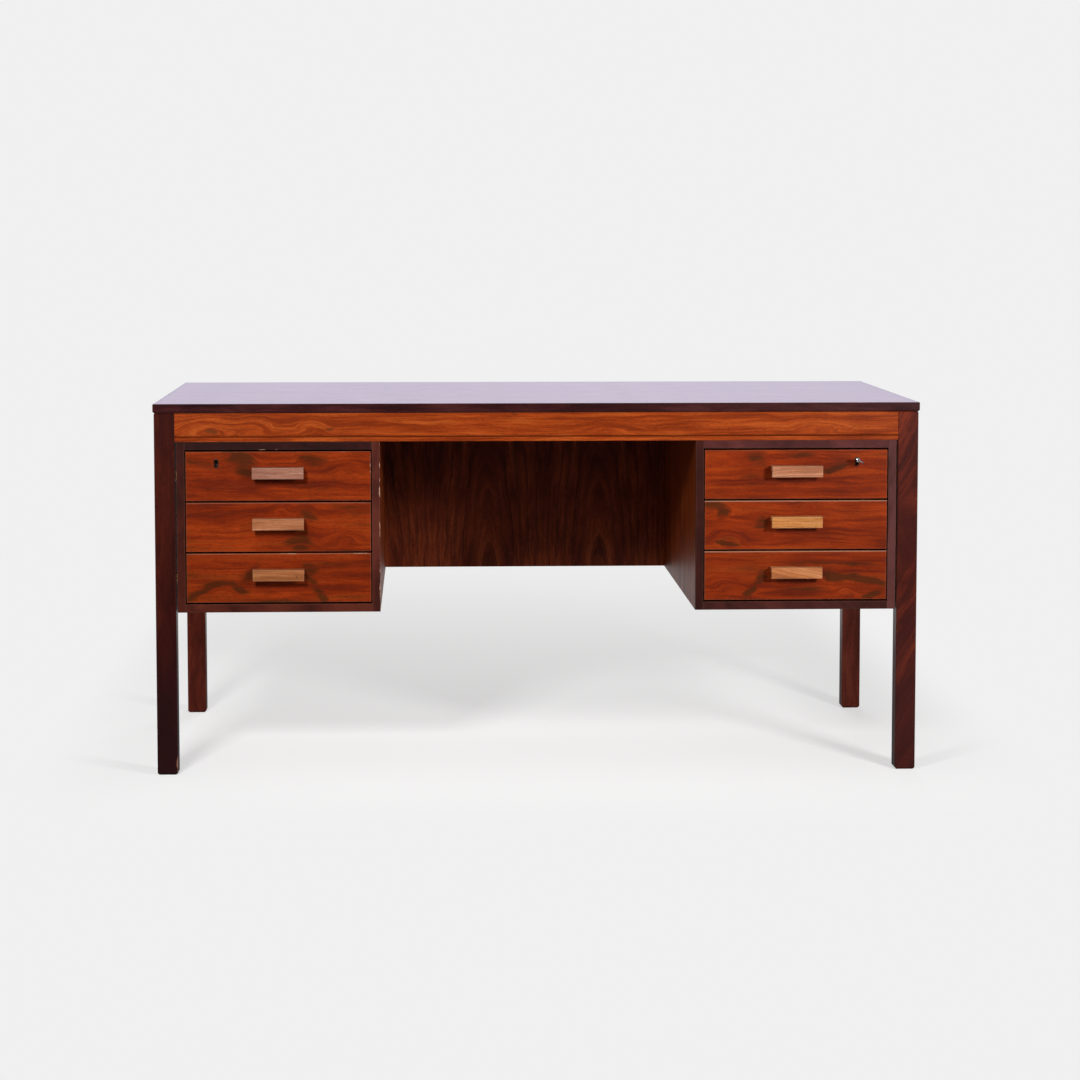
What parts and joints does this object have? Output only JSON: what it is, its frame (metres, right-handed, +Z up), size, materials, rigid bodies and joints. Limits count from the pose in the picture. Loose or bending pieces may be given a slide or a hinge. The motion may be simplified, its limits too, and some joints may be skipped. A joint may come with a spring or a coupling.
{
  "type": "kneehole desk",
  "caption": "Kneehole desk on square legs, with a lipped top, hung drawer pedestals on dovetailed drawers, a back panel and a lock with its key.",
  "frame": {"origin": "on the floor, below the middle of the whole desk with its handles and key", "axes": "+X to the right as seen from the drawer side, +Y from the drawer side to the back panel, +Z up"},
  "size_m": [1.5, 0.776, 0.73],
  "materials": {
    "top_veneer": "lacquered rosewood veneer",
    "dark_rosewood": "lacquered dark rosewood",
    "leg_rosewood": "lacquered dark rosewood",
    "rail_rosewood": "lacquered rosewood",
    "panel_veneer": "lacquered rosewood veneer",
    "pedestal_veneer": "lacquered rosewood veneer",
    "drawer_veneer": "lacquered rosewood veneer",
    "handle_rosewood": "worn bare rosewood",
    "drawer_wood": "lacquered beech",
    "drawer_plywood": "lacquered plywood",
    "runner_wood": "waxed beech",
    "lock_steel": "zinc plated",
    "bolt_brass": "worn",
    "key_nickel": "nickel plated"
  },
  "bodies": {
    "desk": {"back_panel": "panel_veneer", "back_rail": "leg_rosewood", "desktop_lipping": "dark_rosewood", "desktop_panel": "top_veneer", "front_left_leg": "leg_rosewood", "front_rail": "rail_rosewood", "front_rail_strip": "rail_rosewood", "front_right_leg": "leg_rosewood", "glue_blocks": "runner_wood", "left_drawer_runners": "runner_wood", "left_pedestal_bottom": "pedestal_veneer", "left_pedestal_inner_side": "pedestal_veneer", "left_pedestal_outer_side": "pedestal_veneer", "left_pedestal_top": "pedestal_veneer", "left_side_rail": "leg_rosewood", "pedestal_spacers": "runner_wood", "rear_left_leg": "leg_rosewood", "rear_right_leg": "leg_rosewood", "right_drawer_runners": "runner_wood", "right_pedestal_bottom": "pedestal_veneer", "right_pedestal_inner_side": "pedestal_veneer", "right_pedestal_outer_side": "pedestal_veneer", "right_pedestal_top": "pedestal_veneer", "right_side_rail": "leg_rosewood", "wood_screws": "lock_steel"},
    "left_upper_drawer": {"left_lock_case": "lock_steel", "left_upper_drawer_back": "drawer_wood", "left_upper_drawer_bottom": "drawer_plywood", "left_upper_drawer_front": "drawer_veneer", "left_upper_drawer_handle": "handle_rosewood", "left_upper_drawer_sides": "drawer_wood"},
    "left_middle_drawer": {"left_middle_drawer_back": "drawer_wood", "left_middle_drawer_bottom": "drawer_plywood", "left_middle_drawer_front": "drawer_veneer", "left_middle_drawer_handle": "handle_rosewood", "left_middle_drawer_sides": "drawer_wood"},
    "left_lower_drawer": {"left_lower_drawer_back": "drawer_wood", "left_lower_drawer_bottom": "drawer_plywood", "left_lower_drawer_front": "drawer_veneer", "left_lower_drawer_handle": "handle_rosewood", "left_lower_drawer_sides": "drawer_wood"},
    "right_upper_drawer": {"right_lock_case": "lock_steel", "right_upper_drawer_back": "drawer_wood", "right_upper_drawer_bottom": "drawer_plywood", "right_upper_drawer_front": "drawer_veneer", "right_upper_drawer_handle": "handle_rosewood", "right_upper_drawer_sides": "drawer_wood"},
    "right_middle_drawer": {"right_middle_drawer_back": "drawer_wood", "right_middle_drawer_bottom": "drawer_plywood", "right_middle_drawer_front": "drawer_veneer", "right_middle_drawer_handle": "handle_rosewood", "right_middle_drawer_sides": "drawer_wood"},
    "right_lower_drawer": {"right_lower_drawer_back": "drawer_wood", "right_lower_drawer_bottom": "drawer_plywood", "right_lower_drawer_front": "drawer_veneer", "right_lower_drawer_handle": "handle_rosewood", "right_lower_drawer_sides": "drawer_wood"},
    "left_bolt": {"left_lock_bolt": "bolt_brass"},
    "right_bolt": {"right_lock_bolt": "bolt_brass"},
    "right_key": {"right_lock_key": "key_nickel"}
  },
  "joints": [
    {"name": "left_upper_drawer_slide", "type": "slide", "parent": "desk", "child": "left_upper_drawer", "axis": [0, -1, 0], "range_m": [0, 0.42]},
    {"name": "left_middle_drawer_slide", "type": "slide", "parent": "desk", "child": "left_middle_drawer", "axis": [0, -1, 0], "range_m": [0, 0.42]},
    {"name": "left_lower_drawer_slide", "type": "slide", "parent": "desk", "child": "left_lower_drawer", "axis": [0, -1, 0], "range_m": [0, 0.42]},
    {"name": "right_upper_drawer_slide", "type": "slide", "parent": "desk", "child": "right_upper_drawer", "axis": [0, -1, 0], "range_m": [0, 0.42]},
    {"name": "right_middle_drawer_slide", "type": "slide", "parent": "desk", "child": "right_middle_drawer", "axis": [0, -1, 0], "range_m": [0, 0.42]},
    {"name": "right_lower_drawer_slide", "type": "slide", "parent": "desk", "child": "right_lower_drawer", "axis": [0, -1, 0], "range_m": [0, 0.42]},
    {"name": "left_bolt_slide", "type": "slide", "parent": "left_upper_drawer", "child": "left_bolt", "axis": [0, 0, 1], "range_m": [0, 0.008]},
    {"name": "right_key_turn", "type": "hinge", "parent": "right_upper_drawer", "child": "right_key", "pos_m": [0.628, -0.358, 0.617], "axis": [0, -1, 0], "range_deg": [0, 120]},
    {"name": "right_bolt_slide", "type": "slide", "parent": "right_upper_drawer", "child": "right_bolt", "axis": [0, 0, 1], "range_m": [0, 0.008]}
  ],
  "couplings": [
    {"joint": "right_key_turn", "follows": "right_bolt_slide", "rad_per_m": 261.8}
  ]
}
